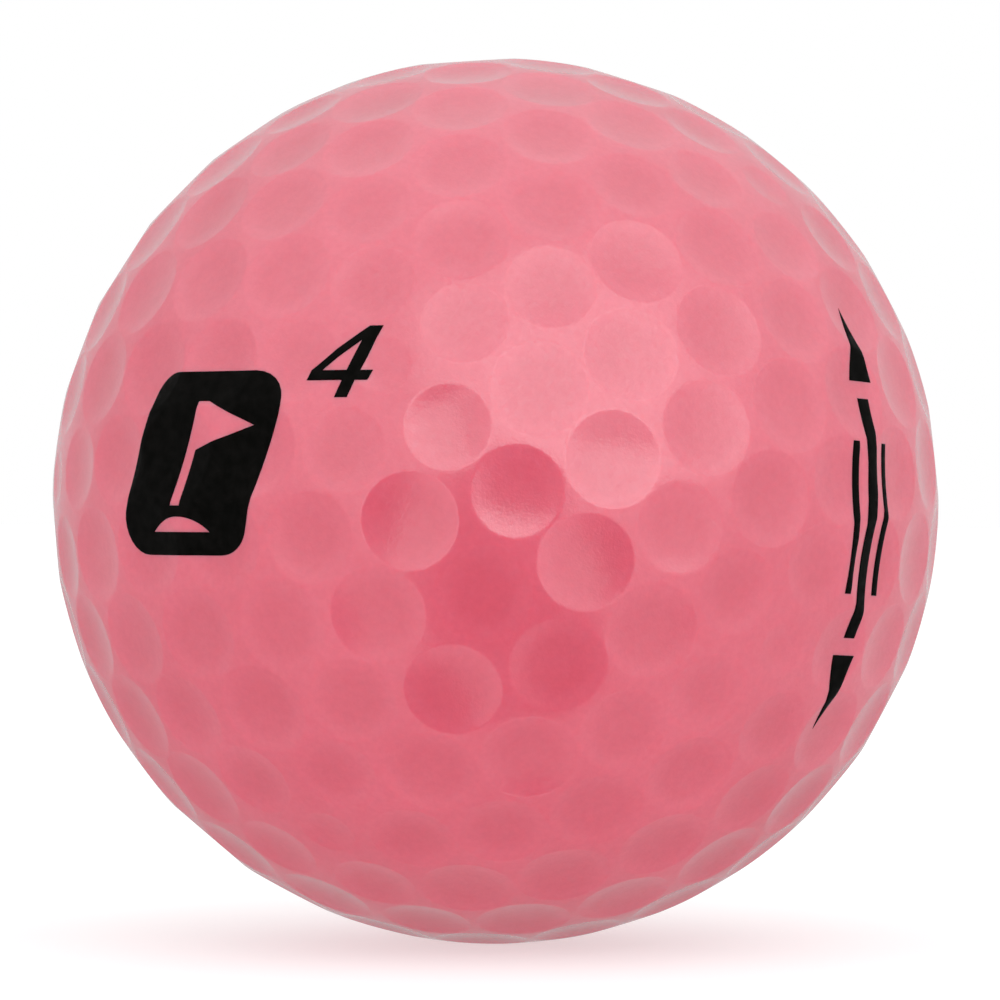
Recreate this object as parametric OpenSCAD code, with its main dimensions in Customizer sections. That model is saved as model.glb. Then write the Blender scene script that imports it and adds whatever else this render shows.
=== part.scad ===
// Two-piece golf ball: a solid rubber core, a moulded cover in two half shells
// and the printed marks that lie on the cover.
// The origin is the centre of the ball. -Y and +Y are the two poles, the plane
// Y = 0 is the parting plane of the cover, and +Z is the top of the marks.

/* [Ball] */
// Diameter over the lands between the dimples
ball_d = 42.67; // [42.67:0.01:43.5]
// Thickness of the cover over the core
cover_t = 1.9; // [1.2:0.1:2.6]

/* [Dimples] */
// Diameter of the small dimple at each five-fold point
five_fold_d = 2.6; // [2.2:0.1:3.4]
// Diameter of the five dimples around a five-fold point
ring_d = 3.9; // [3.4:0.1:4]
// Diameter of the dimples two lattice steps from a five-fold point
bridge_d = 4.15; // [3.6:0.05:4.15]
// Diameter of all the other dimples
field_d = 4.4; // [3.8:0.05:4.4]
// Depth of a field dimple below the plane of its rim
field_depth = 0.15; // [0.1:0.01:0.18]
// Turn of the dimple pattern about X, then Y, then Z, in degrees
pattern_turn = [-11.6, -12.7, -6.9]; // [-180:0.1:180]

/* [Marks] */
// Thickness of the printed ink
ink_t = 0.03; // [0.02:0.01:0.05]
// Height of the emblem badge
emblem_h = 8.3; // [6:0.1:9]
// Width of the emblem badge along its base
emblem_w = 7.6; // [6:0.1:9]
// Height of the play number
number_h = 3.2; // [2.4:0.1:4]
// Lean of the emblem and the number from upright, in degrees
print_lean = 17; // [0:1:25]
// Length of the straight bar in the side stamp
bar_l = 11; // [8:0.1:12]
// Length of each arrowhead in the side stamp
arrow_l = 3.4; // [2.6:0.1:4.4]
// Width of each arrowhead at its base
arrow_w = 1.6; // [1.2:0.1:2.4]
// Lean of the side stamp from upright, in degrees
stamp_lean = 3; // [0:1:10]

/* [Hidden] */

BALL_R = ball_d / 2;
CORE_R = BALL_R - cover_t;
SPHERE_FN = 180;
CAP_FN = 120;
// The dimple cutter stands this far outside the dimple's rim
RIM_MARGIN = 0.02;
// The cutters and the half spaces reach this far past the ball
CLEAR = 1;

EMBLEM_AT = [-1.1, 1.7];
EMBLEM_CORNER_R = 1.5;
CORNER_STEPS = 8;
NUMBER_AT = [6.2, 6.2];
STAMP_AT = [0.4, -0.8];
ARROW_GAP = 0.8;
BAR_W = 0.8;
SIDE_BAR_W = 0.45;
SIDE_BAR_L = 7;
SIDE_BAR_PITCH = 1.25;

PINK = [0.9, 0.47, 0.55];
CORE_GREY = [0.8, 0.82, 0.85];
INK = [0.07, 0.07, 0.07];

// ---- Dimple pattern --------------------------------------------------------
// Every face of an icosahedron carries the same triangular lattice. A corner of
// the face is at lattice point [0, 0], the next at [H, K] and the third at
// [-K, H + K], so a face holds T small triangles, and no lattice point but the
// corners lies on its edges.
H = 5;
K = 1;
T = H * H + H * K + K * K;
CORNERS = [[0, 0], [H, K], [-K, H + K]];
GOLDEN = (1 + sqrt(5)) / 2;
EDGE_ANGLE = acos(1 / sqrt(5));

function unit(v) = v / norm(v);

FIVE_FOLD = [
    for (s = [1, -1], t = [GOLDEN, -GOLDEN], i = [0:2])
        unit([for (j = [0:2]) [0, s, t][(j + i) % 3]])
];

function are_neighbours(a, b) = abs(a * b - cos(EDGE_ANGLE)) < 0.001;

FACES = [
    for (i = [0:9], j = [i + 1:10], k = [j + 1:11])
        let (a = FIVE_FOLD[i], b = FIVE_FOLD[j], c = FIVE_FOLD[k])
            if (are_neighbours(a, b) && are_neighbours(b, c) && are_neighbours(a, c))
                cross(a, b) * c > 0 ? [a, b, c] : [a, c, b]
];

// Share of each corner in the lattice point [x, y]
function shares(x, y) =
    let (u = (x * (H + K) + y * K) / T, v = (y * H - x * K) / T)
        [1 - u - v, u, v];

// Equal shares of arc, not of chord, keep the dimples evenly spaced
function on_sphere(face, share) =
    unit([for (i = [0:2]) sin(share[i] * EDGE_ANGLE)] * face);

// Lattice steps squared between [x, y] and the nearest corner
function steps2(x, y) =
    min([for (c = CORNERS) let (p = x - c[0], q = y - c[1]) p * p + p * q + q * q]);

function dimple_d(steps2) = steps2 == 1 ? ring_d : (steps2 == 4 ? bridge_d : field_d);

function turn_x(p, a) = [p[0], p[1] * cos(a) - p[2] * sin(a), p[1] * sin(a) + p[2] * cos(a)];
function turn_y(p, a) = [p[0] * cos(a) + p[2] * sin(a), p[1], p[2] * cos(a) - p[0] * sin(a)];
function turn_z(p, a) = [p[0] * cos(a) - p[1] * sin(a), p[0] * sin(a) + p[1] * cos(a), p[2]];
function turned(p) = turn_z(turn_y(turn_x(p, pattern_turn[0]), pattern_turn[1]), pattern_turn[2]);

// Each dimple is [direction from the centre, diameter]
DIMPLES = concat(
    [for (p = FIVE_FOLD) [turned(p), five_fold_d]],
    [for (face = FACES, x = [-K:H], y = [0:H + K])
        let (share = shares(x, y))
            if (min(share) > 0) [turned(on_sphere(face, share)), dimple_d(steps2(x, y))]]
);

// ---- Dimple cutters --------------------------------------------------------
// The floor of a dimple is part of a sphere. The floor rises by raise, which is
// the ink's thickness where ink lies in the dimple.
module dimple_cutter(dimple, raise = 0) {
    n = dimple[0];
    rim_r = dimple[1] / 2;
    depth = field_depth * dimple[1] / field_d;
    cap_r = (rim_r * rim_r + depth * depth) / (2 * depth);
    rim_z = sqrt(BALL_R * BALL_R - rim_r * rim_r);
    rotate([0, acos(n[2]), atan2(n[1], n[0])])
        intersection() {
            translate([0, 0, rim_z - depth + cap_r]) sphere(cap_r - raise, $fn = CAP_FN);
            translate([0, 0, rim_z - 2 * depth])
                cylinder(r = rim_r + RIM_MARGIN, h = BALL_R + CLEAR - rim_z + 2 * depth, $fn = CAP_FN);
        }
}

module cutters(dimples, raise = 0) {
    for (dimple = dimples) dimple_cutter(dimple, raise);
}

// ---- Core and cover --------------------------------------------------------
module core() {
    color(CORE_GREY) sphere(CORE_R, $fn = SPHERE_FN);
}

// side is -1 for the half at -Y and 1 for the half at +Y
module cover(side) {
    reach = BALL_R + CLEAR;
    in_half = [for (d = DIMPLES) if (side * d[0][1] * BALL_R > -d[1]) d];
    color(PINK) difference() {
        intersection() {
            sphere(BALL_R, $fn = SPHERE_FN);
            translate([-reach, side > 0 ? 0 : -reach, -reach]) cube([2 * reach, reach, 2 * reach]);
        }
        sphere(CORE_R, $fn = SPHERE_FN);
        cutters(in_half);
    }
}

// ---- Printed marks ---------------------------------------------------------
// Ink on the dimpled surface, inside the outline that its child draws. The
// outline stands on the pole at -Y, with its X across and its Y up, and heading
// turns it round the Z axis. reach is how far the mark goes from centre.
module print_on_ball(centre, reach, heading = 0) {
    aim = turn_z(unit([centre[0], -BALL_R, centre[1]]), heading);
    limit = (reach + field_d / 2) / BALL_R;
    near = [for (d = DIMPLES) if (norm(d[0] - aim) < limit) d];
    color(INK) difference() {
        intersection() {
            sphere(BALL_R + ink_t, $fn = SPHERE_FN);
            rotate([90, 0, heading]) linear_extrude(BALL_R + CLEAR) translate(centre) children();
        }
        cutters(near, raise = ink_t);
        difference() {
            sphere(BALL_R, $fn = SPHERE_FN);
            cutters(near);
        }
    }
}

function leaning(points) = [for (p = points) [p[0] + p[1] * tan(print_lean), p[1]]];

// Points of a polygon with round corners, from its corners in order, anticlockwise
function rounded(points, r) =
    let (n = len(points))
        [for (i = [0:n - 1])
            let (
                before = points[i] - points[(i + n - 1) % n],
                after = points[(i + 1) % n] - points[i],
                start = atan2(-before[0], before[1]),
                sweep = (atan2(-after[0], after[1]) - start + 360) % 360
            )
                for (step = [0:CORNER_STEPS])
                    let (a = start + sweep * step / CORNER_STEPS)
                        points[i] + r * [cos(a), sin(a)]
        ];

// A leaning badge with a flag and its green left open in the middle
module emblem_outline() {
    w = emblem_w / 2 - EMBLEM_CORNER_R;
    h = emblem_h / 2 - EMBLEM_CORNER_R;
    pole_foot = -1.9;
    pole_top = 2.8;
    pole_left = -0.8;
    pole_right = -0.2;
    flag_l = 2.9;
    flag_drop = 2.2;
    green_at = [-0.9, -5];
    green_r = 2.6;
    green_foot = -3.1;
    difference() {
        polygon(rounded(leaning([[-w, -h], [w, -h], [w, h], [-w, h]]), EMBLEM_CORNER_R));
        polygon(leaning([
            [pole_left, pole_foot], [pole_right, pole_foot], [pole_right, pole_top - flag_drop],
            [pole_right + flag_l, pole_top - flag_drop / 2], [pole_right, pole_top], [pole_left, pole_top]
        ]));
        intersection() {
            translate(green_at) circle(green_r, $fn = CAP_FN);
            translate([green_at[0] - green_r, green_foot]) square([2 * green_r, green_r]);
        }
    }
}

// The figure four, with its lower left corner at [0, 0] before it leans. Its
// proportions are shares of its height.
module number_outline() {
    h = number_h;
    left = 0.55 * h;
    right = 0.73 * h;
    full_w = 0.89 * h;
    bar_low = 0.24 * h;
    bar_top = 0.38 * h;
    // Width of the slanting stroke, measured level
    stroke = 0.175 * h;
    slope = (h - bar_top) / left;
    translate([-full_w / 2 - h / 2 * tan(print_lean), -h / 2])
        difference() {
            polygon(leaning([
                [left, 0], [right, 0], [right, bar_low], [full_w, bar_low], [full_w, bar_top],
                [right, bar_top], [right, h], [left, h], [0, bar_top], [0, bar_low], [left, bar_low]
            ]));
            polygon(leaning([
                [left, bar_top], [left, bar_top + (left - stroke) * slope], [stroke, bar_top]
            ]));
        }
}

module arrow_outline() {
    polygon([[-arrow_w / 2, 0], [arrow_w / 2, 0], [0, arrow_l]]);
}

module bars_outline() {
    square([BAR_W, bar_l], center = true);
    for (x = [-SIDE_BAR_PITCH, SIDE_BAR_PITCH])
        translate([x, 0]) square([SIDE_BAR_W, SIDE_BAR_L], center = true);
}

module emblem(heading) {
    print_on_ball(EMBLEM_AT, emblem_h, heading) emblem_outline();
}

module number(heading) {
    print_on_ball(NUMBER_AT, number_h, heading) number_outline();
}

// The side stamp stands on the parting plane at +X
module arrow(turn) {
    base = bar_l / 2 + ARROW_GAP;
    centre = STAMP_AT + (turn == 0 ? 1 : -1) * base * [sin(stamp_lean), cos(stamp_lean)];
    print_on_ball(centre, arrow_l, 90) rotate(turn - stamp_lean) arrow_outline();
}

module side_bars() {
    print_on_ball(STAMP_AT, bar_l / 2 + 1, 90) rotate(-stamp_lean) bars_outline();
}

core();
cover(-1);  // front_cover
cover(1);  // rear_cover
emblem(0);  // front_emblem
emblem(180);  // rear_emblem
number(0);  // front_number
number(180);  // rear_number
arrow(0);  // upper_arrow
arrow(180);  // lower_arrow
side_bars();
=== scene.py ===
"""Looks of the golf ball: the dimpled cover, the printed marks and the core, with a soft white studio."""

import math

import bmesh
import bpy
import numpy as np
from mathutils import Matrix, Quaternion, Vector
from mathutils.geometry import delaunay_2d_cdt


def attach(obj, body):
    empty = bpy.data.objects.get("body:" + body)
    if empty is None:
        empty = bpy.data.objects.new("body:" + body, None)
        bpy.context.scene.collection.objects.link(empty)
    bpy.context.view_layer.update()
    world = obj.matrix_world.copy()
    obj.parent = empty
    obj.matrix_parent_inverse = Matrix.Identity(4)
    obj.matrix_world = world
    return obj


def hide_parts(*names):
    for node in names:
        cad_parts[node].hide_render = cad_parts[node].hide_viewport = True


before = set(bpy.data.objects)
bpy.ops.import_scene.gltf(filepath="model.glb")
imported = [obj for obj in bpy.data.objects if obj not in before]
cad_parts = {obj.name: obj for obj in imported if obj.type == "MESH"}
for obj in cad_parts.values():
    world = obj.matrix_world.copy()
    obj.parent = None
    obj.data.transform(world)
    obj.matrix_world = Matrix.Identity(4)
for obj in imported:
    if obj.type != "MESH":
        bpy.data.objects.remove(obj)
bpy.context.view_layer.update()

MM = 0.001

# ---- Sizes that come from the frame ---------------------------------------------


def farthest(node):
    """Distance from the ball's centre to a CAD node's farthest point."""
    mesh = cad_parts[node].data
    co = np.empty(len(mesh.vertices) * 3)
    mesh.vertices.foreach_get("co", co)
    return float(np.linalg.norm(co.reshape(-1, 3), axis=1).max())


BALL_R = farthest("front_cover")
CORE_R = farthest("core")
INK_T = farthest("front_emblem") - BALL_R

# ---- The dimple pattern, by the same rule as the CAD ----------------------------
# Each face of an icosahedron carries one triangular lattice. A corner of the face is
# at lattice point (0, 0), the next at (H, K) and the third at (-K, H + K).
H, K = 5, 1
T = H * H + H * K + K * K
CORNERS = ((0, 0), (H, K), (-K, H + K))
GOLDEN = (1 + math.sqrt(5)) / 2
EDGE_ANGLE = math.acos(1 / math.sqrt(5))
PATTERN_TURN = (-11.6, -12.7, -6.9)
FIVE_FOLD_D, RING_D, BRIDGE_D, FIELD_D = 2.6 * MM, 3.9 * MM, 4.15 * MM, 4.4 * MM
FIELD_DEPTH = 0.15 * MM
# Height over which a rim is rounded between the dimple's floor and the land
RIM_BLEND = 0.024 * MM


def unit(v):
    v = np.asarray(v, float)
    return v / np.linalg.norm(v, axis=-1, keepdims=True)


def turned(points):
    """Points turned about X, then Y, then Z by the pattern's angles."""
    for axis, degrees in enumerate(PATTERN_TURN):
        c, s = math.cos(math.radians(degrees)), math.sin(math.radians(degrees))
        a, b = (axis + 1) % 3, (axis + 2) % 3
        out = points.copy()
        out[:, a] = points[:, a] * c - points[:, b] * s
        out[:, b] = points[:, a] * s + points[:, b] * c
        points = out
    return points


def dimples():
    """Every dimple's direction from the centre and its diameter."""
    five_fold = unit([np.roll((0, s, t), i) for s in (1, -1) for t in (GOLDEN, -GOLDEN) for i in range(3)])
    near = np.abs(five_fold @ five_fold.T - math.cos(EDGE_ANGLE)) < 0.001
    places, sizes = list(five_fold), [FIVE_FOLD_D] * len(five_fold)
    for i, j, k in ((i, j, k) for i in range(10) for j in range(i + 1, 11) for k in range(j + 1, 12)):
        if not (near[i, j] and near[j, k] and near[i, k]):
            continue
        face = five_fold[[i, j, k]]
        if np.linalg.det(face) < 0:
            face = face[[0, 2, 1]]
        for x in range(-K, H + 1):
            for y in range(H + K + 1):
                share = np.array([0.0, x * (H + K) + y * K, y * H - x * K]) / T
                share[0] = 1 - share.sum()
                if share.min() < 0.5 / T:
                    continue
                steps2 = min((x - a) ** 2 + (x - a) * (y - b) + (y - b) ** 2 for a, b in CORNERS)
                places.append(unit(np.sin(share * EDGE_ANGLE) @ face))
                sizes.append({1: RING_D, 4: BRIDGE_D}.get(steps2, FIELD_D))
    return turned(np.array(places)), np.array(sizes)


CENTRES, DIAMETERS = dimples()
RIM_R = DIAMETERS / 2
DEPTHS = FIELD_DEPTH * DIAMETERS / FIELD_D
CAP_R = (RIM_R ** 2 + DEPTHS ** 2) / (2 * DEPTHS)
CAP_AT = np.sqrt(BALL_R ** 2 - RIM_R ** 2) - DEPTHS + CAP_R
RIM_ANGLE = np.arcsin(RIM_R / BALL_R)


def floor_heights(directions):
    """Height of each dimple's floor over the ball's surface, at each direction."""
    cos = np.clip(directions @ CENTRES.T, -1, 1)
    inside = CAP_R ** 2 - CAP_AT ** 2 * (1 - cos ** 2)
    reach = CAP_AT * cos - np.sqrt(np.maximum(inside, 0))
    return np.where((inside > 0) & (cos > 0.9), reach - BALL_R, 1.0)


def lowest_blend(heights):
    """The lower envelope of the land and the floors, with its edges rounded."""
    low = np.zeros(len(heights))
    for floor in np.sort(heights, axis=1)[:, :3].T:
        overlap = np.maximum(RIM_BLEND - np.abs(low - floor), 0)
        low = np.minimum(low, floor) - overlap ** 2 / (4 * RIM_BLEND)
    return low


def surface_radius(directions):
    """Distance from the centre to the cover's surface, at each direction."""
    parts = [BALL_R + lowest_blend(floor_heights(d)) for d in np.array_split(directions, 16)]
    return np.concatenate(parts)


# ---- Meshes ----------------------------------------------------------------------


def new_piece(name, verts, faces):
    mesh = bpy.data.meshes.new(name)
    mesh.from_pydata(np.asarray(verts).tolist(), [], np.asarray(faces).tolist())
    mesh.validate()
    mesh.shade_smooth()
    piece = bpy.data.objects.new(name, mesh)
    bpy.context.collection.objects.link(piece)
    return piece


def triangles(points, edges=()):
    """Delaunay triangles between flat points, as indices into them, anticlockwise."""
    made = delaunay_2d_cdt([Vector(p) for p in points.tolist()], [tuple(e) for e in edges], [], 0, 1e-9)
    origin = [source[0] if source else -1 for source in made[3]]
    faces = np.array([[origin[v] for v in face] for face in made[2]])
    faces = faces[faces.min(axis=1) >= 0]
    a, b, c = (points[faces[:, i]] for i in range(3))
    clockwise = np.cross(b - a, c - a) < 0
    faces[clockwise] = faces[clockwise][:, ::-1]
    return faces


# ---- Cover -----------------------------------------------------------------------
# Rings of points inside each dimple, as a share of its rim radius and a count
FLOOR_RINGS = ((0.2, 6), (0.42, 12), (0.64, 20), (0.84, 30))
# Rings across the rounded rim, as a distance from the rim
RIM_RINGS = (-0.1 * MM, -0.05 * MM, 0, 0.05 * MM, 0.1 * MM)
RIM_COUNT = 40
LAND_SPACING = 0.35 * MM
EQUATOR_COUNT = 1200
EQUATOR_GAP = 0.05 * MM
# The cover's inner face stands this far off the core
CORE_GAP = 0.01 * MM


def ring_points(angles, count):
    """Points round every dimple at its own angle from its centre."""
    side = unit(np.cross(CENTRES, np.roll(CENTRES, 1, axis=1)))
    up = np.cross(CENTRES, side)
    turn = np.arange(count) * 2 * math.pi / count
    around = side[:, None] * np.cos(turn)[:, None] + up[:, None] * np.sin(turn)[:, None]
    return CENTRES[:, None] * np.cos(angles)[:, None, None] + around * np.sin(angles)[:, None, None]


def cover_directions():
    """Directions from the centre to the cover's points, which follow the rims."""
    rings = [ring_points(RIM_ANGLE * share, count) for share, count in FLOOR_RINGS]
    rings += [ring_points(RIM_ANGLE + offset / BALL_R, RIM_COUNT) for offset in RIM_RINGS]
    kept = [CENTRES]
    for ring in rings:
        own = np.repeat(np.arange(len(CENTRES)), ring.shape[1])
        points = ring.reshape(-1, 3)
        kept.append(points[floor_heights(points).argmin(axis=1) == own])
    count = int(4 * math.pi * BALL_R ** 2 / LAND_SPACING ** 2)
    y = 1 - (2 * np.arange(count) + 1) / count
    turn = np.arange(count) * math.pi * (3 - math.sqrt(5))
    reach = np.sqrt(1 - y ** 2)
    land = np.stack([reach * np.cos(turn), y, reach * np.sin(turn)], axis=1)
    kept.append(land[floor_heights(land).min(axis=1) > 2 * RIM_BLEND])
    return np.concatenate(kept)


def make_cover():
    directions = cover_directions()
    directions = directions[np.abs(directions[:, 1]) > EQUATOR_GAP / BALL_R]
    turn = np.arange(EQUATOR_COUNT) * 2 * math.pi / EQUATOR_COUNT
    equator = np.stack([np.cos(turn), 0 * turn, np.sin(turn)], axis=1)
    directions = np.concatenate([equator, directions])
    faces = []
    for side in (-1, 1):
        used = np.flatnonzero((directions[:, 1] * side > 0) | (np.arange(len(directions)) < EQUATOR_COUNT))
        d = directions[used]
        flat = d[:, [0, 2]] / (1 + side * d[:, 1:2])
        half = used[triangles(flat)]
        faces.append(half if side < 0 else half[:, ::-1])
    outer = directions * surface_radius(directions)[:, None]

    inner = bmesh.new()
    bmesh.ops.create_icosphere(inner, subdivisions=6, radius=CORE_R + CORE_GAP)
    inner_verts = np.array([v.co for v in inner.verts])
    inner_faces = np.array([[v.index for v in face.verts] for face in inner.faces])[:, ::-1]
    inner.free()
    faces.append(inner_faces + len(outer))
    return directions, new_piece("cover", np.concatenate([outer, inner_verts]), np.concatenate(faces))


# ---- Printed marks ---------------------------------------------------------------
EMBLEM_H, EMBLEM_W, EMBLEM_CORNER_R = 8.3 * MM, 7.6 * MM, 1.5 * MM
EMBLEM_AT = (-1.1 * MM, 1.7 * MM)
POLE_LEFT, POLE_RIGHT, POLE_FOOT, POLE_TOP = -0.8 * MM, -0.2 * MM, -1.9 * MM, 2.8 * MM
FLAG_L, FLAG_DROP = 2.9 * MM, 2.2 * MM
GREEN_AT, GREEN_R, GREEN_FOOT = (-0.9 * MM, -5 * MM), 2.6 * MM, -3.1 * MM
CORNER_STEPS, GREEN_STEPS = 8, 24
NUMBER_H = 3.2 * MM
NUMBER_AT = (6.2 * MM, 6.2 * MM)
PRINT_LEAN = math.tan(math.radians(17))
STAMP_AT = (0.4 * MM, -0.8 * MM)
STAMP_LEAN = math.radians(3)
ARROW_L, ARROW_W, ARROW_GAP = 3.4 * MM, 1.6 * MM, 0.8 * MM
BAR_L, BAR_W = 11 * MM, 0.8 * MM
SIDE_BAR_L, SIDE_BAR_W, SIDE_BAR_PITCH = 7 * MM, 0.45 * MM, 1.25 * MM
# The ink's edge is softened over this width, and its foot goes this far into the cover
INK_EDGE = 0.035 * MM
INK_FOOT = 0.012 * MM
OUTLINE_STEP = 0.1 * MM
# Twice the area under which a triangle's corners count as lying in a line
IN_LINE = 1e-6 * MM ** 2


def leaning(points):
    return [(x + z * PRINT_LEAN, z) for x, z in points]


def arc(centre, r, start, end, steps):
    """Points along an arc, with its angles in degrees."""
    angles = np.radians(np.linspace(start, end, steps + 1))
    return [(centre[0] + r * math.cos(a), centre[1] + r * math.sin(a)) for a in angles]


def emblem_outlines():
    """The leaning badge, then the flag and the green that are left open in it."""
    w, h = EMBLEM_W / 2 - EMBLEM_CORNER_R, EMBLEM_H / 2 - EMBLEM_CORNER_R
    lean = math.degrees(math.atan(PRINT_LEAN))
    corners = leaning([(-w, -h), (w, -h), (w, h), (-w, h)])
    starts = (180 - lean, 270, -lean, 90)
    ends = (270, 360 - lean, 90, 180 - lean)
    badge = []
    for corner, start, end in zip(corners, starts, ends):
        badge += arc(corner, EMBLEM_CORNER_R, start, end, CORNER_STEPS)
    flag = leaning([
        (POLE_LEFT, POLE_FOOT), (POLE_RIGHT, POLE_FOOT), (POLE_RIGHT, POLE_TOP - FLAG_DROP),
        (POLE_RIGHT + FLAG_L, POLE_TOP - FLAG_DROP / 2), (POLE_RIGHT, POLE_TOP), (POLE_LEFT, POLE_TOP),
    ])
    start = math.degrees(math.asin((GREEN_FOOT - GREEN_AT[1]) / GREEN_R))
    green = arc(GREEN_AT, GREEN_R, start, 180 - start, GREEN_STEPS)
    return [badge, flag, green]


def number_outlines():
    """The figure four and its counter, with proportions that are shares of its height."""
    h = NUMBER_H
    left, right, full_w = 0.55 * h, 0.73 * h, 0.89 * h
    bar_low, bar_top, stroke = 0.24 * h, 0.38 * h, 0.175 * h
    outer = [
        (left, 0), (right, 0), (right, bar_low), (full_w, bar_low), (full_w, bar_top), (right, bar_top),
        (right, h), (left, h), (0, bar_top), (0, bar_low), (left, bar_low),
    ]
    slope = (h - bar_top) / left
    counter = [(left, bar_top), (left, bar_top + (left - stroke) * slope), (stroke, bar_top)]
    dx, dz = full_w / 2 + h / 2 * PRINT_LEAN, h / 2
    return [[(x - dx, z - dz) for x, z in leaning(points)] for points in (outer, counter)]


def box_outline(x, w, h):
    return [(x - w / 2, -h / 2), (x + w / 2, -h / 2), (x + w / 2, h / 2), (x - w / 2, h / 2)]


def bar_outlines():
    sides = [box_outline(x, SIDE_BAR_W, SIDE_BAR_L) for x in (-SIDE_BAR_PITCH, SIDE_BAR_PITCH)]
    return [box_outline(0, BAR_W, BAR_L)] + sides


def placed(outlines, at, turn=0.0):
    """Outlines turned anticlockwise, then moved, on the flat that faces the pole."""
    c, s = math.cos(turn), math.sin(turn)
    return [[(x * c - z * s + at[0], x * s + z * c + at[1]) for x, z in points] for points in outlines]


def arrow_outlines(end):
    """The arrowhead at the upper (1) or lower (-1) end of the side stamp."""
    base = end * (BAR_L / 2 + ARROW_GAP)
    at = (STAMP_AT[0] + base * math.sin(STAMP_LEAN), STAMP_AT[1] + base * math.cos(STAMP_LEAN))
    head = [(-ARROW_W / 2, 0), (ARROW_W / 2, 0), (0, ARROW_L)]
    return placed([head], at, -STAMP_LEAN if end > 0 else math.pi - STAMP_LEAN)


def stepped(points):
    """A closed outline with points no further apart than the outline step."""
    points = np.array(points)
    out = []
    for a, b in zip(points, np.roll(points, -1, axis=0)):
        count = max(1, math.ceil(np.linalg.norm(b - a) / OUTLINE_STEP))
        out.append(a + (b - a) * np.arange(count)[:, None] / count)
    return np.concatenate(out)


def inside(points, loops):
    """Whether each point is inside an odd number of the outlines."""
    odd = np.zeros(len(points), bool)
    for loop in loops:
        after = np.roll(loop, -1, axis=0)
        for (x0, z0), (x1, z1) in zip(loop, after):
            if z0 == z1:
                continue
            crosses = (z0 > points[:, 1]) != (z1 > points[:, 1])
            odd ^= crosses & (points[:, 0] < x0 + (points[:, 1] - z0) * (x1 - x0) / (z1 - z0))
    return odd


def edge_distance(points, loops):
    """Distance from each point to the nearest outline."""
    nearest = np.full(len(points), np.inf)
    for loop in loops:
        for a, b in zip(loop, np.roll(loop, -1, axis=0)):
            along = np.clip((points - a) @ (b - a) / ((b - a) @ (b - a)), 0, 1)
            nearest = np.minimum(nearest, np.linalg.norm(points - a - along[:, None] * (b - a), axis=1))
    return nearest


def inset(loop, sign):
    """The outline's points moved to its left (1) or right (-1)."""
    along = unit(np.roll(loop, -1, axis=0) - np.roll(loop, 1, axis=0))
    return loop + sign * INK_EDGE * np.stack([-along[:, 1], along[:, 0]], axis=1)


def on_cover(flat, heading, lift):
    """Points of the flat that faces the -Y pole put on the cover, lifted off it and turned round Z."""
    c, s = math.cos(heading), math.sin(heading)
    radius = np.full(len(flat), BALL_R)
    for _ in range(3):
        out = np.stack([flat[:, 0], -np.sqrt(radius ** 2 - (flat ** 2).sum(axis=1)), flat[:, 1]], axis=1)
        d = unit(out)
        d = np.stack([d[:, 0] * c - d[:, 1] * s, d[:, 0] * s + d[:, 1] * c, d[:, 2]], axis=1)
        radius = surface_radius(d)
    return d * (radius + lift)[:, None]


def make_mark(name, outlines, heading):
    """A thin closed layer of ink on the cover, inside the outlines."""
    loops = [stepped(points) for points in outlines]
    c, s = math.cos(heading), math.sin(heading)
    facing = COVER_DIRECTIONS[COVER_DIRECTIONS @ (s, -c, 0) > 0.5] * BALL_R
    cover_points = np.stack([facing[:, 0] * c + facing[:, 1] * s, facing[:, 2]], axis=1)
    low, high = np.concatenate(loops).min(axis=0), np.concatenate(loops).max(axis=0)
    cover_points = cover_points[((cover_points > low) & (cover_points < high)).all(axis=1)]
    insets = [inset(loop, sign) for loop in loops for sign in (1, -1)]
    filling = np.concatenate([cover_points] + insets)
    filling = filling[inside(filling, loops)]
    filling = filling[edge_distance(filling, loops) > 0.9 * INK_EDGE]

    rim = np.concatenate(loops)
    starts = np.cumsum([0] + [len(loop) for loop in loops])
    edges = [(a + i, a + (i + 1) % (b - a)) for a, b in zip(starts, starts[1:]) for i in range(b - a)]
    flat = np.concatenate([rim, filling])
    top = triangles(flat, edges)
    top = top[inside(flat[top].mean(axis=1), loops)]
    a, b, c = (flat[top[:, i]] for i in range(3))
    top = top[np.cross(b - a, c - a) > IN_LINE]
    lift = np.where(np.arange(len(flat)) < len(rim), 0.5 * INK_T, INK_T)
    verts = np.concatenate([
        on_cover(flat, heading, lift),
        on_cover(flat, heading, np.full(len(flat), -INK_FOOT)),
    ])
    below = len(flat)
    corners = np.sort(np.concatenate([top[:, [0, 1]], top[:, [1, 2]], top[:, [2, 0]]]), axis=1)
    ordered = np.concatenate([top[:, [0, 1]], top[:, [1, 2]], top[:, [2, 0]]])
    _, first, count = np.unique(corners, axis=0, return_index=True, return_counts=True)
    wall = ordered[first[count == 1]]
    walls = np.concatenate([
        np.stack([wall[:, 1], wall[:, 0], wall[:, 0] + below], axis=1),
        np.stack([wall[:, 1], wall[:, 0] + below, wall[:, 1] + below], axis=1),
    ])
    piece = new_piece(name, verts, np.concatenate([top, top[:, ::-1] + below, walls]))
    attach(piece, "root")
    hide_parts(name)
    return piece


COVER_DIRECTIONS, cover = make_cover()
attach(cover, "root")
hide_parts("front_cover", "rear_cover")

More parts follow.
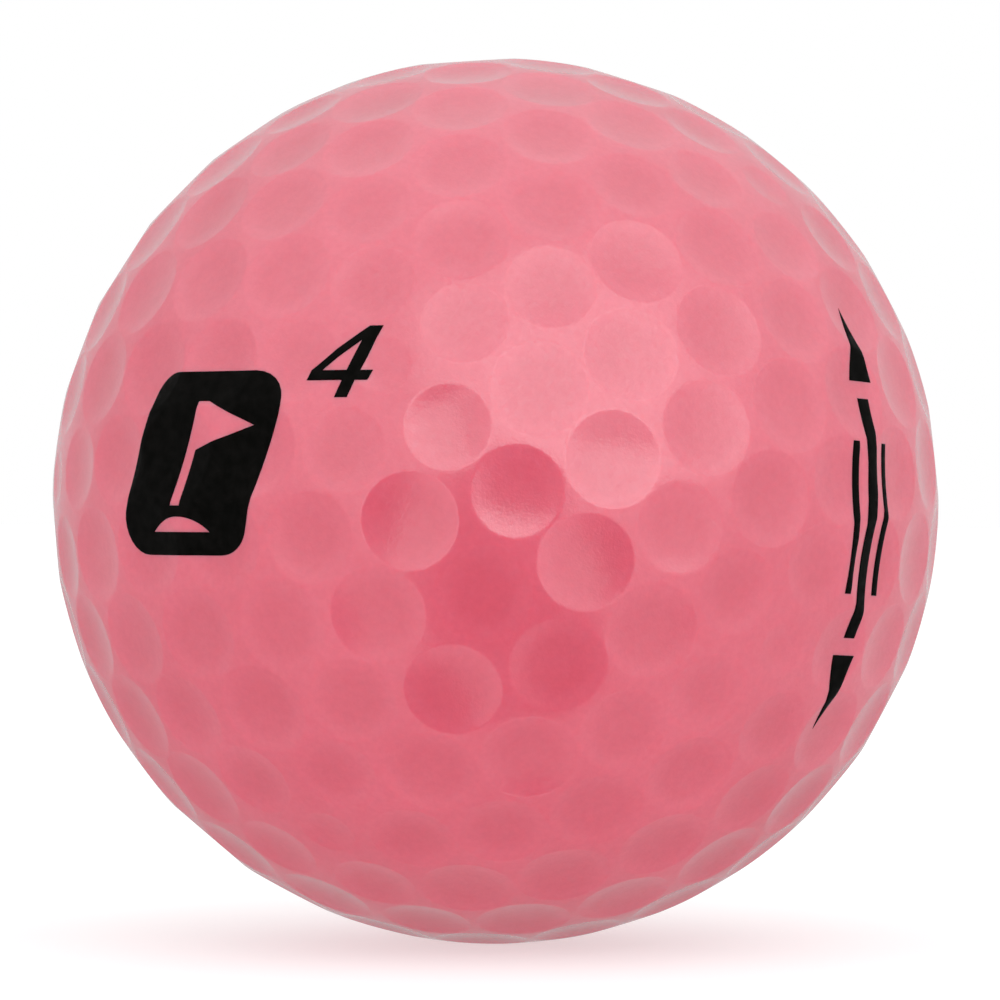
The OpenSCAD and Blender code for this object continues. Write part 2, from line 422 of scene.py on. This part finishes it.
FRONT, REAR, SIDE = 0, math.pi, math.pi / 2
marks = [
    make_mark("front_emblem", placed(emblem_outlines(), EMBLEM_AT), FRONT),
    make_mark("rear_emblem", placed(emblem_outlines(), EMBLEM_AT), REAR),
    make_mark("front_number", placed(number_outlines(), NUMBER_AT), FRONT),
    make_mark("rear_number", placed(number_outlines(), NUMBER_AT), REAR),
    make_mark("upper_arrow", arrow_outlines(1), SIDE),
    make_mark("lower_arrow", arrow_outlines(-1), SIDE),
    make_mark("side_bars", placed(bar_outlines(), STAMP_AT, -STAMP_LEAN), SIDE),
]

# ---- Materials -------------------------------------------------------------------


class Look:
    """A Principled material with short calls for the nodes that vary it over the surface."""

    def __init__(self, name):
        self.material = bpy.data.materials.new(name)
        self.material.use_nodes = True
        self.nodes = self.material.node_tree.nodes
        self.links = self.material.node_tree.links
        self.shader = self.nodes["Principled BSDF"]
        self.place = self.nodes.new("ShaderNodeTexCoord").outputs["Object"]

    def set(self, **values):
        for socket, value in values.items():
            self.shader.inputs[socket.replace("_", " ")].default_value = value

    def noise(self, size, detail=2.0, roughness=0.5):
        """Noise whose lumps are about size metres across."""
        node = self.nodes.new("ShaderNodeTexNoise")
        node.inputs["Scale"].default_value = 1 / size
        node.inputs["Detail"].default_value = detail
        node.inputs["Roughness"].default_value = roughness
        self.links.new(self.place, node.inputs["Vector"])
        return node.outputs["Fac"]

    def ramp(self, source, *stops):
        """Colours or values at given places along a source's 0 to 1."""
        node = self.nodes.new("ShaderNodeValToRGB")
        elements = node.color_ramp.elements
        while len(elements) < len(stops):
            elements.new(0.5)
        for element, (at, value) in zip(elements, stops):
            element.position = at
            element.color = value if isinstance(value, tuple) else (value, value, value, 1)
        self.links.new(source, node.inputs["Fac"])
        return node.outputs["Color"]

    def multiplied(self, a, b):
        """The product of two colour sources."""
        node = self.nodes.new("ShaderNodeVectorMath")
        node.operation = "MULTIPLY"
        self.links.new(a, node.inputs[0])
        self.links.new(b, node.inputs[1])
        return node.outputs["Vector"]

    def height(self, deepest):
        """A point's height in a dimple: 0 at deepest metres below the ball's surface, 1 at the surface."""
        reach = self.nodes.new("ShaderNodeVectorMath")
        reach.operation = "LENGTH"
        self.links.new(self.place, reach.inputs[0])
        share = self.nodes.new("ShaderNodeMapRange")
        share.inputs["From Min"].default_value = BALL_R - deepest
        share.inputs["From Max"].default_value = BALL_R
        self.links.new(reach.outputs["Value"], share.inputs["Value"])
        return share.outputs["Result"]

    def drive(self, socket, source):
        self.links.new(source, self.shader.inputs[socket])

    def bump(self, *layers):
        """Raised relief, from pairs of a source and its height in metres."""
        normal = None
        for source, height in layers:
            node = self.nodes.new("ShaderNodeBump")
            node.inputs["Distance"].default_value = height
            self.links.new(source, node.inputs["Height"])
            if normal:
                self.links.new(normal, node.inputs["Normal"])
            normal = node.outputs["Normal"]
        self.links.new(normal, self.shader.inputs["Normal"])


def rgb(r, g, b):
    """A linear colour from 0 to 255 screen values."""
    def linear(v):
        v /= 255
        return v / 12.92 if v <= 0.04045 else ((v + 0.055) / 1.055) ** 2.4
    return (linear(r), linear(g), linear(b), 1)


def cover_look():
    """Translucent pink under a satin lacquer, with painted shade that makes the colour a little deeper on the
    dimples' floors.
    """
    look = Look("cover_pink_look")
    cloud = look.ramp(look.noise(6 * MM), (0.3, rgb(207, 94, 113)), (0.7, rgb(212, 100, 119)))
    fleck = look.ramp(look.noise(0.35 * MM, 4), (0.35, rgb(251, 248, 249)), (0.65, rgb(255, 255, 255)))
    # Painted shade: the base colour is made a little darker on the dimples' floors, as if the hollows were in
    # shade.
    painted_dimple_shade = look.ramp(look.height(0.26 * MM), (0.25, rgb(250, 241, 243)), (0.7, rgb(255, 255, 255)))
    look.drive("Base Color", look.multiplied(look.multiplied(cloud, fleck), painted_dimple_shade))
    look.drive("Roughness", look.ramp(look.noise(0.5 * MM, 3), (0.3, 0.06), (0.7, 0.1)))
    look.bump((look.noise(0.13 * MM, 3), 0.007 * MM), (look.noise(1.1 * MM), 0.0012 * MM))
    look.drive("Specular IOR Level", look.ramp(look.noise(0.2 * MM, 5, 0.6), (0.35, 0.85), (0.65, 1.15)))
    look.set(IOR=1.45, Coat_Weight=0.12, Coat_Roughness=0.05)
    look.set(Subsurface_Weight=1.0, Subsurface_Radius=(1.0, 0.28, 0.36), Subsurface_Scale=0.6 * MM)
    return look.material


def ink_look():
    """Matt black ink, faintly mottled."""
    look = Look("ink_black_look")
    look.drive("Base Color", look.ramp(look.noise(0.5 * MM, 4), (0.35, rgb(5, 5, 4)), (0.7, rgb(12, 11, 10))))
    look.drive("Roughness", look.ramp(look.noise(0.3 * MM, 3), (0.3, 0.4), (0.7, 0.55)))
    look.bump((look.noise(0.12 * MM, 3), 0.003 * MM))
    look.set(IOR=1.45, Specular_IOR_Level=0.02)
    return look.material


def core_look():
    """Pale moulded rubber with fine mottling."""
    look = Look("core_rubber_look")
    mottle = look.ramp(look.noise(1.5 * MM, 6), (0.35, rgb(186, 194, 202)), (0.7, rgb(214, 218, 224)))
    look.drive("Base Color", mottle)
    look.drive("Roughness", look.ramp(look.noise(0.6 * MM, 3), (0.3, 0.6), (0.7, 0.75)))
    look.bump((look.noise(0.4 * MM, 5), 0.02 * MM))
    return look.material


cover.data.materials.append(cover_look())
ink = ink_look()
for mark in marks:
    mark.data.materials.append(ink)
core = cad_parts["core"]
core.data.materials.clear()
core.data.materials.append(core_look())

# ---- Floor, light and camera -----------------------------------------------------
CENTRE = Vector((0, 0, 0))
WHITE = (1, 1, 1, 1)
CAMERA_AZIMUTH = math.radians(37)
CAMERA_DISTANCE = 11 * BALL_R
# The ball's apparent radius and the lens shift, as shares of the picture's width
BALL_RADIUS_SHARE = 0.4429
LENS_SHIFT = (0.0044, 0.001)
FLOOR_W = 6
FLOOR_GLOW = 0.55


def from_camera_side(right, up, towards):
    """A place given as seen from the camera: metres to its right, up, and towards it."""
    c, s = math.cos(CAMERA_AZIMUTH), math.sin(CAMERA_AZIMUTH)
    return Vector((right * c + towards * s, right * s - towards * c, up))


# Brightness of the white room: the light that it gives, and what gloss reflects of it
ROOM_LIGHT = 1.05
ROOM_REFLECTED = 1.75
# Fades of the room: a direction, and stops of place and brightness, where place 0 is
# straight away from the direction and 1 is straight along it
LIT_FROM_ABOVE = ((0, 0, 1), ((0.5, 0.8), (1.0, 1.0)))
BRIGHT_ABOVE_CAMERA = (
    from_camera_side(0.12, 0.84, 0.53),
    ((0.1, 0.28), (0.3, 0.4), (0.5, 0.46), (0.77, 0.74), (0.95, 0.85)),
)
# Three round fades that overlap into one tall dark shape, from the camera downward
DARK_BELOW_CAMERA = (
    (from_camera_side(0.0, -0.06, 1.0), ((0.968, 1.0), (0.99, 0.2))),
    (from_camera_side(-0.04, -0.37, 0.925), ((0.95, 1.0), (0.985, 0.1))),
    (from_camera_side(0.095, -0.629, 0.771), ((0.95, 1.0), (0.985, 0.15))),
)

# The glowing card that only reflections see, with its glow's stops across and up it
SHEEN_AT = from_camera_side(0.275, 0.455, 0.54)
SHEEN_SIZE = (1.3, 0.89)
SHEEN_ROLL = math.radians(-8)
SHEEN_STRENGTH = 1.35
SHEEN_ACROSS = ((0.0, 0.55), (0.3, 0.9), (0.6, 1.0), (1.0, 0.0))
SHEEN_UPWARD = ((0.0, 1.0), (0.1, 1.0), (0.35, 0.82), (0.6, 0.8), (0.82, 0.55), (1.0, 0.12))


def aim(thing, roll=0.0):
    """Turn a thing to face the ball, rolled anticlockwise as seen from behind it."""
    turn = (CENTRE - thing.location).to_track_quat("-Z", "Y") @ Quaternion((0, 0, 1), roll)
    thing.rotation_euler = turn.to_euler()


def add_floor():
    """A pale floor that glows a little, so that no line shows where it meets the room."""
    w = FLOOR_W / 2
    floor = new_piece("floor", [(-w, -w, 0), (w, -w, 0), (w, w, 0), (-w, w, 0)], [(0, 1, 2, 3)])
    floor.location = (0, 0, -BALL_R)
    look = Look("floor_look")
    look.drive("Base Color", look.ramp(look.noise(0.05, 3), (0.3, 0.48), (0.7, 0.52)))
    look.set(Roughness=0.8, Specular_IOR_Level=0.2, Emission_Color=WHITE, Emission_Strength=FLOOR_GLOW)
    floor.data.materials.append(look.material)
    floor.visible_glossy = False


def add_background(tree, strength, *fades):
    """White of the given strength, dimmed by every fade."""
    colour = None
    for direction, stops in fades:
        along = tree.nodes.new("ShaderNodeVectorMath")
        along.operation = "DOT_PRODUCT"
        tree.links.new(tree.nodes.new("ShaderNodeTexCoord").outputs["Generated"], along.inputs[0])
        along.inputs[1].default_value = direction
        place = tree.nodes.new("ShaderNodeMapRange")
        place.inputs["From Min"].default_value = -1
        tree.links.new(along.outputs["Value"], place.inputs["Value"])
        ramp = tree.nodes.new("ShaderNodeValToRGB")
        ramp.color_ramp.interpolation = "EASE"
        while len(ramp.color_ramp.elements) < len(stops):
            ramp.color_ramp.elements.new(0.5)
        for element, (at, value) in zip(ramp.color_ramp.elements, stops):
            element.position = at
            element.color = (value, value, value, 1)
        tree.links.new(place.outputs["Result"], ramp.inputs["Fac"])
        if colour is None:
            colour = ramp.outputs["Color"]
            continue
        both = tree.nodes.new("ShaderNodeVectorMath")
        both.operation = "MULTIPLY"
        tree.links.new(colour, both.inputs[0])
        tree.links.new(ramp.outputs["Color"], both.inputs[1])
        colour = both.outputs["Vector"]
    background = tree.nodes.new("ShaderNodeBackground")
    background.inputs["Color"].default_value = WHITE
    background.inputs["Strength"].default_value = strength
    if colour is not None:
        tree.links.new(colour, background.inputs["Color"])
    return background.outputs["Background"]


def make_world():
    """A white room: the light that it gives, what gloss reflects of it, and the plain white that is seen."""
    world = bpy.data.worlds.new("studio")
    world.use_nodes = True
    tree = world.node_tree
    look = add_background(tree, ROOM_LIGHT, LIT_FROM_ABOVE)
    reflected = add_background(tree, ROOM_REFLECTED, BRIGHT_ABOVE_CAMERA, *DARK_BELOW_CAMERA)
    seen = add_background(tree, 1.0)
    ray = tree.nodes.new("ShaderNodeLightPath")
    for kind, background in (("Is Glossy Ray", reflected), ("Is Camera Ray", seen)):
        choose = tree.nodes.new("ShaderNodeMixShader")
        tree.links.new(ray.outputs[kind], choose.inputs[0])
        tree.links.new(look, choose.inputs[1])
        tree.links.new(background, choose.inputs[2])
        look = choose.outputs["Shader"]
    tree.links.new(look, tree.nodes["World Output"].inputs["Surface"])
    return world


def add_panel(name, place, size, watts):
    """A soft rectangular light that faces the ball, without a reflection."""
    light = bpy.data.lights.new(name, "AREA")
    light.shape = "RECTANGLE"
    light.size, light.size_y = size
    light.energy = watts
    panel = bpy.data.objects.new(name, light)
    panel.location = place
    panel.visible_camera = panel.visible_glossy = False
    aim(panel)
    bpy.context.collection.objects.link(panel)


def add_sheen_card():
    """A glowing card that only reflections see, crisp along its foot and fading towards its top and sides."""
    w, h = SHEEN_SIZE[0] / 2, SHEEN_SIZE[1] / 2
    card = new_piece("sheen_card", [(-w, -h, 0), (w, -h, 0), (w, h, 0), (-w, h, 0)], [(0, 1, 2, 3)])
    card.location = SHEEN_AT
    aim(card, SHEEN_ROLL)
    look = Look("sheen_card_look")
    place = look.nodes.new("ShaderNodeSeparateXYZ")
    look.links.new(look.nodes.new("ShaderNodeTexCoord").outputs["Generated"], place.inputs[0])
    across = look.ramp(place.outputs["X"], *SHEEN_ACROSS)
    upward = look.ramp(place.outputs["Y"], *SHEEN_UPWARD)
    glow = look.nodes.new("ShaderNodeEmission")
    look.links.new(look.multiplied(across, upward), glow.inputs["Color"])
    glow.inputs["Strength"].default_value = SHEEN_STRENGTH
    # The room shows through the card, so its faded edges aren't dark
    both = look.nodes.new("ShaderNodeAddShader")
    look.links.new(glow.outputs["Emission"], both.inputs[0])
    look.links.new(look.nodes.new("ShaderNodeBsdfTransparent").outputs["BSDF"], both.inputs[1])
    look.links.new(both.outputs["Shader"], look.nodes["Material Output"].inputs["Surface"])
    look.nodes.remove(look.shader)
    card.data.materials.append(look.material)
    card.visible_camera = card.visible_diffuse = card.visible_shadow = False


def add_camera():
    """The camera, with a lens that gives the ball its apparent radius."""
    data = bpy.data.cameras.new("camera")
    data.sensor_width = 36
    apparent = BALL_R / math.sqrt(CAMERA_DISTANCE ** 2 - BALL_R ** 2)
    data.lens = data.sensor_width * BALL_RADIUS_SHARE / apparent
    data.shift_x, data.shift_y = LENS_SHIFT
    data.clip_start, data.clip_end = 0.01, 20
    camera = bpy.data.objects.new("camera", data)
    camera.location = from_camera_side(0, 0, CAMERA_DISTANCE)
    aim(camera)
    bpy.context.collection.objects.link(camera)
    bpy.context.scene.camera = camera


add_floor()
bpy.context.scene.world = make_world()
bpy.context.scene.view_settings.view_transform = "Standard"
add_panel("key_panel", from_camera_side(0.15, 0.6, 0.4), (0.8, 0.8), 1.6)
add_panel("low_fill", from_camera_side(0, 0.02, 0.5), (0.6, 0.08), 0.5)
add_sheen_card()
add_camera()
